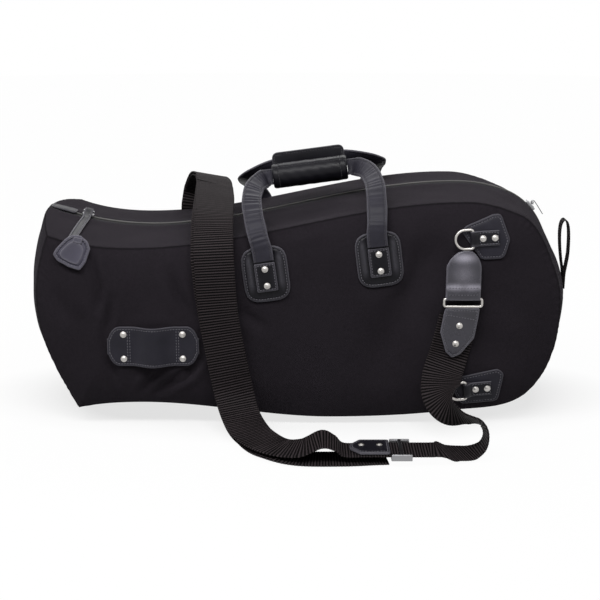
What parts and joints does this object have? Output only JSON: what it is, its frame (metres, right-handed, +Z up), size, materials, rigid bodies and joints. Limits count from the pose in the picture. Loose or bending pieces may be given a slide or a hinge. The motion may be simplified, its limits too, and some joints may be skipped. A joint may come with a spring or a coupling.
{
  "type": "brass instrument gig bag",
  "caption": "Soft padded gig bag for a baritone horn: zipped gusset body with carry handles, a side grip, strap rings and an adjustable shoulder strap.",
  "frame": {"origin": "on the floor, in the middle of the flattened patch of the bottom gusset that the bag rests on", "axes": "+X along the bag from the bell end to the small end, +Z up, -Y towards the side with the side grip and the shoulder strap"},
  "size_m": [0.7243, 0.4684, 0.3491],
  "materials": {
    "body_cloth": "fine black woven nylon",
    "lining": "soft dark lining over foam",
    "webbing": "ribbed dark webbing",
    "leather": "smooth satin leather",
    "grip_leather": "smooth satin leather, worn bright",
    "nickel": "polished nickel",
    "zip_tape": "black tape with a nylon coil",
    "slider_metal": "black gloss"
  },
  "bodies": {
    "front_half": {"bell_end_cap": "body_cloth", "bottom_gusset": "body_cloth", "carry_grip": "leather", "carry_grip_rivets_left": "nickel", "carry_grip_rivets_right": "nickel", "front_padding": "lining", "front_panel": "body_cloth", "handle_patch_left": "leather", "handle_patch_right": "leather", "handle_rivets_left": "nickel", "handle_rivets_right": "nickel", "handle_tab_left": "leather", "handle_tab_right": "leather", "lower_ring_patch": "leather", "lower_ring_rivets": "nickel", "lower_ring_tab": "leather", "strap_point": "leather", "strap_point_rivets": "nickel", "top_gusset_front": "body_cloth", "upper_ring_patch": "leather", "upper_ring_rivets": "nickel", "upper_ring_tab": "leather", "webbing_inner": "webbing", "webbing_outer": "webbing", "zip_chain_front": "zip_tape"},
    "rear_half": {"rear_handle_patch_left": "leather", "rear_handle_patch_right": "leather", "rear_handle_rivets_left": "nickel", "rear_handle_rivets_right": "nickel", "rear_handle_tab_left": "leather", "rear_handle_tab_right": "leather", "rear_padding": "lining", "rear_panel": "body_cloth", "rear_ring": "nickel", "rear_ring_patch": "leather", "rear_ring_rivets": "nickel", "rear_ring_tab": "leather", "top_gusset_rear": "body_cloth", "webbing_rear": "webbing", "zip_chain_rear": "zip_tape", "zip_end_tab": "leather"},
    "left_slider": {"slider_left": "slider_metal"},
    "fob": {"fob": "leather", "fob_strap": "leather"},
    "right_slider": {"slider_right": "slider_metal"},
    "pull": {"wire_pull": "slider_metal"},
    "front_handle": {"front_handle_strap_left": "leather", "front_handle_strap_right": "leather", "handle_grip": "grip_leather"},
    "flap": {"grip_flap": "grip_leather"},
    "rear_handle": {"rear_handle_strap": "leather"},
    "upper_ring": {"upper_ring": "nickel", "hanger_tab": "leather", "buckle_ring": "nickel"},
    "lower_ring": {"lower_ring": "nickel"},
    "adjuster": {"keeper": "leather", "keeper_rivets": "nickel", "adjuster_frame": "nickel"},
    "finger_loop": {"finger_loop": "webbing"}
  },
  "joints": [
    {"name": "mouth_hinge", "type": "hinge", "parent": "front_half", "child": "rear_half", "pos_m": [0, 0.1435, 0], "axis": [-1, 0, 0], "range_deg": [0, 60]},
    {"name": "left_slider_travel", "type": "hinge", "parent": "front_half", "child": "left_slider", "pos_m": [-0.198, 0, 0.6405], "axis": [0, -1, 0], "range_deg": [0, 7]},
    {"name": "fob_swing", "type": "hinge", "parent": "left_slider", "child": "fob", "pos_m": [-0.28631, 0, 0.25808], "axis": [-0.9744, 0, 0.225], "range_deg": [0, 110]},
    {"name": "right_slider_travel", "type": "hinge", "parent": "front_half", "child": "right_slider", "pos_m": [0.2483, 0, 0.2066], "axis": [0, 1, 0], "range_deg": [-19, 13]},
    {"name": "pull_swing", "type": "hinge", "parent": "right_slider", "child": "pull", "pos_m": [0.31596, 0, 0.26969], "axis": [0, -1, 0], "range_deg": [0, 140]},
    {"name": "front_handle_swing", "type": "hinge", "parent": "front_half", "child": "front_handle", "pos_m": [-0.04541, -0.15811, 0.22082], "axis": [0.9914, 0.0097, 0.1305], "range_deg": [0, 118]},
    {"name": "flap_fold", "type": "hinge", "parent": "front_handle", "child": "flap", "pos_m": [0.01364, -0.0115, 0.31272], "axis": [-0.9914, 0, -0.1305], "range_deg": [0, 35]},
    {"name": "rear_handle_swing", "type": "hinge", "parent": "rear_half", "child": "rear_handle", "pos_m": [-0.04541, 0.15811, 0.22082], "axis": [-0.9914, 0.0097, -0.1305], "range_deg": [0, 118]},
    {"name": "upper_ring_swing", "type": "hinge", "parent": "front_half", "child": "upper_ring", "pos_m": [0.21662, -0.15626, 0.24897], "axis": [-0.0534, 0.0643, 0.9965], "range_deg": [0, 12]},
    {"name": "lower_ring_swing", "type": "hinge", "parent": "front_half", "child": "lower_ring", "pos_m": [0.21317, -0.15495, 0.05081], "axis": [-0.0831, -0.1674, 0.9824], "range_deg": [0, 120]},
    {"name": "adjuster_slide", "type": "slide", "parent": "front_half", "child": "adjuster", "axis": [1, 0, 0], "range_m": [0, 0.02]},
    {"name": "loop_bend", "type": "hinge", "parent": "front_half", "child": "finger_loop", "pos_m": [0.3566, -0.021, 0.156], "axis": [0, 1, 0], "range_deg": [0, 60]}
  ]
}
